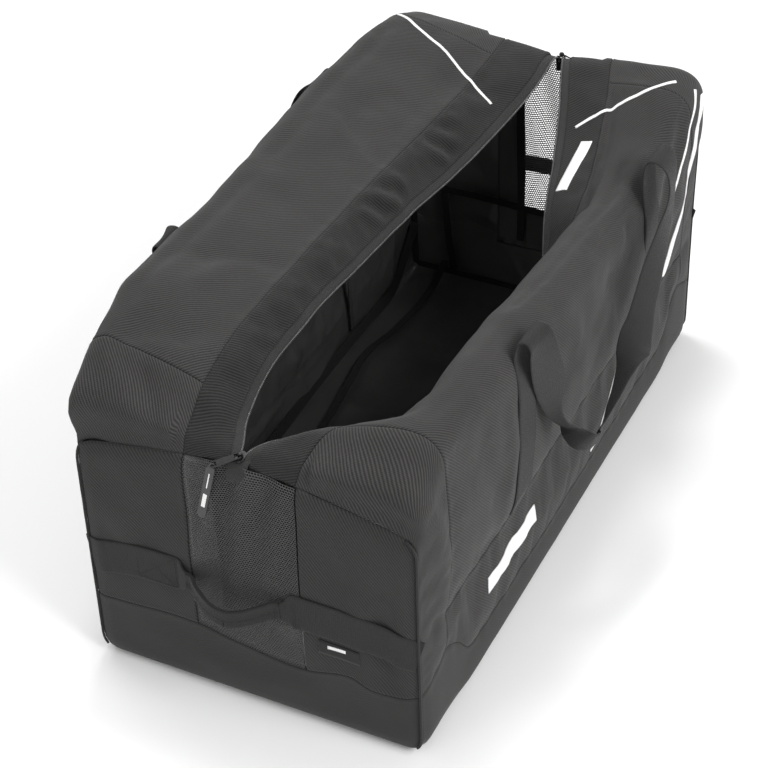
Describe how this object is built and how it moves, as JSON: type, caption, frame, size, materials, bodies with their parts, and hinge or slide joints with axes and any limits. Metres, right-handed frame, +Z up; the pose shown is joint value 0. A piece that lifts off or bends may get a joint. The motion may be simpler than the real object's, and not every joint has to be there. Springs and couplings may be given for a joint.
{
  "type": "hockey equipment bag",
  "caption": "Large open-topped carry bag of coated fabric for ice hockey kit, with webbing carry and grab handles, mesh end vents and a full-length two-way zip.",
  "frame": {"origin": "middle of the underside", "axes": "+X along the bag towards its right end, +Y towards the back, +Z up; the printed front is -Y"},
  "size_m": [1.02, 0.6366, 0.498],
  "materials": {
    "side_fabric": "dark charcoal coated twill",
    "yoke_fabric": "dark charcoal coated twill",
    "end_fabric": "dark charcoal coated twill",
    "band_weave": "dark charcoal steep diagonal weave",
    "boot_fabric": "plain coated fabric with a matt face",
    "vent_mesh": "knitted open mesh",
    "webbing": "ribbed polyester webbing",
    "zip_tape": "woven zip tape",
    "zip_coil": "black nylon coil",
    "binding_tape": "dull black binding tape",
    "zip_metal": "black painted die casting",
    "pull_rubber": "black moulded rubber",
    "end_tab": "folded black webbing",
    "label": "woven black label with a pale mark"
  },
  "bodies": {
    "bag": {"boot_band_back": "boot_fabric", "boot_band_front": "boot_fabric", "boot_band_left": "boot_fabric", "boot_band_right": "boot_fabric", "bottom_panel": "boot_fabric", "end_mesh_left": "vent_mesh", "end_mesh_right": "vent_mesh", "end_panel_left_back": "end_fabric", "end_panel_left_front": "end_fabric", "end_panel_right_back": "end_fabric", "end_panel_right_front": "end_fabric", "end_strap_left_back": "webbing", "end_strap_left_front": "webbing", "end_strap_right_back": "webbing", "end_strap_right_front": "webbing", "label_left": "label", "print_band_back": "side_fabric", "print_band_front": "side_fabric", "seam_tape_back": "binding_tape", "seam_tape_front": "binding_tape", "seam_tape_left": "binding_tape", "seam_tape_right": "binding_tape", "side_panel_back": "side_fabric", "side_panel_front": "side_fabric", "strip_back_left": "webbing", "strip_back_right": "webbing", "strip_front_left": "webbing", "strip_front_right": "webbing", "top_panel_back": "side_fabric", "top_panel_front": "side_fabric", "yoke_left_back": "yoke_fabric", "yoke_left_front": "yoke_fabric", "yoke_right_back": "yoke_fabric", "yoke_right_front": "yoke_fabric", "zip_band_back": "band_weave", "zip_band_front": "band_weave", "zip_coil_back": "zip_coil", "zip_coil_front": "zip_coil", "zip_end_tab_left": "end_tab", "zip_end_tab_right": "end_tab", "zip_tape_back": "zip_tape", "zip_tape_front": "zip_tape"},
    "front_handle": {"handle_front": "webbing"},
    "back_handle": {"handle_back": "webbing"},
    "left_grab": {"grab_handle_left": "webbing"},
    "right_grab": {"grab_handle_right": "webbing"},
    "left_slider": {"slider_left": "zip_metal"},
    "right_slider": {"slider_right": "zip_metal"},
    "left_link": {"pull_link_left": "zip_metal"},
    "right_link": {"pull_link_right": "zip_metal"},
    "left_tab": {"pull_tab_left": "pull_rubber"},
    "right_tab": {"pull_tab_right": "pull_rubber"}
  },
  "joints": [
    {"name": "front_handle_swing", "type": "hinge", "parent": "bag", "child": "front_handle", "pos_m": [0.025, -0.242, 0.455], "axis": [-1, 0, 0], "range_deg": [0, 150]},
    {"name": "back_handle_swing", "type": "hinge", "parent": "bag", "child": "back_handle", "pos_m": [0.025, 0.242, 0.455], "axis": [1, 0, 0], "range_deg": [0, 130]},
    {"name": "left_grab_swing", "type": "hinge", "parent": "bag", "child": "left_grab", "pos_m": [-0.483, 0.015, 0.192], "axis": [0, 1, 0], "range_deg": [0, 70]},
    {"name": "right_grab_swing", "type": "hinge", "parent": "bag", "child": "right_grab", "pos_m": [0.483, 0.015, 0.224], "axis": [0, -1, 0], "range_deg": [0, 70]},
    {"name": "left_slider_travel", "type": "slide", "parent": "bag", "child": "left_slider", "axis": [0.9651, 0, 0.262], "range_m": [0, 0.004]},
    {"name": "left_link_hinge", "type": "hinge", "parent": "left_slider", "child": "left_link", "pos_m": [-0.46076, 0, 0.40197], "axis": [0.8094, 0.5446, 0.2197], "range_deg": [0, 110]},
    {"name": "left_tab_hinge", "type": "hinge", "parent": "left_link", "child": "left_tab", "pos_m": [-0.47753, 0.02964, 0.3903], "axis": [0.8094, 0.5446, 0.2197], "range_deg": [0, 100]},
    {"name": "right_slider_travel", "type": "slide", "parent": "bag", "child": "right_slider", "axis": [-0.854, 0, 0.5203], "range_m": [0, 0.004]},
    {"name": "right_link_hinge", "type": "hinge", "parent": "right_slider", "child": "right_link", "pos_m": [0.46149, -0.02019, 0.4416], "axis": [-0.6039, -0.7071, 0.3679], "range_deg": [0, 110]},
    {"name": "right_tab_hinge", "type": "hinge", "parent": "right_link", "child": "right_tab", "pos_m": [0.47925, -0.04517, 0.42273], "axis": [-0.6039, -0.7071, 0.3679], "range_deg": [0, 100]}
  ]
}
